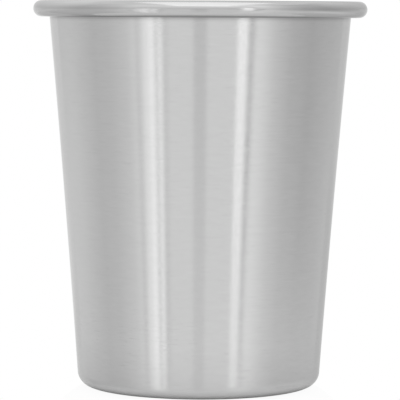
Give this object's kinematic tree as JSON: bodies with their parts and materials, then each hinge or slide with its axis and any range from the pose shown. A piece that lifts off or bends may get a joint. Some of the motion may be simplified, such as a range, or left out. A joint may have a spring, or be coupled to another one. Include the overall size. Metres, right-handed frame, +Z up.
{
  "type": "julep cup",
  "caption": "Tapered single-wall brushed steel drinking cup with a wired rolled rim, a small rounded foot corner and a domed base pan brazed inside the foot.",
  "frame": {"origin": "centre of the foot ring, on the surface that the cup stands on", "axes": "+Z up along the cup's axis towards the mouth; the cup is round, so X and Y are any two directions across it"},
  "size_m": [0.0882, 0.0882, 0.102],
  "materials": {
    "brushed_wall": "fine brushing round the cup",
    "drawn_wire": "plain drawn wire",
    "pressed_base": "turned satin",
    "braze": "pale silver braze, smooth"
  },
  "bodies": {
    "root": {"cup_wall": "brushed_wall", "rim_wire": "drawn_wire", "base_pan": "pressed_base", "braze_ring": "braze"}
  },
  "joints": []
}
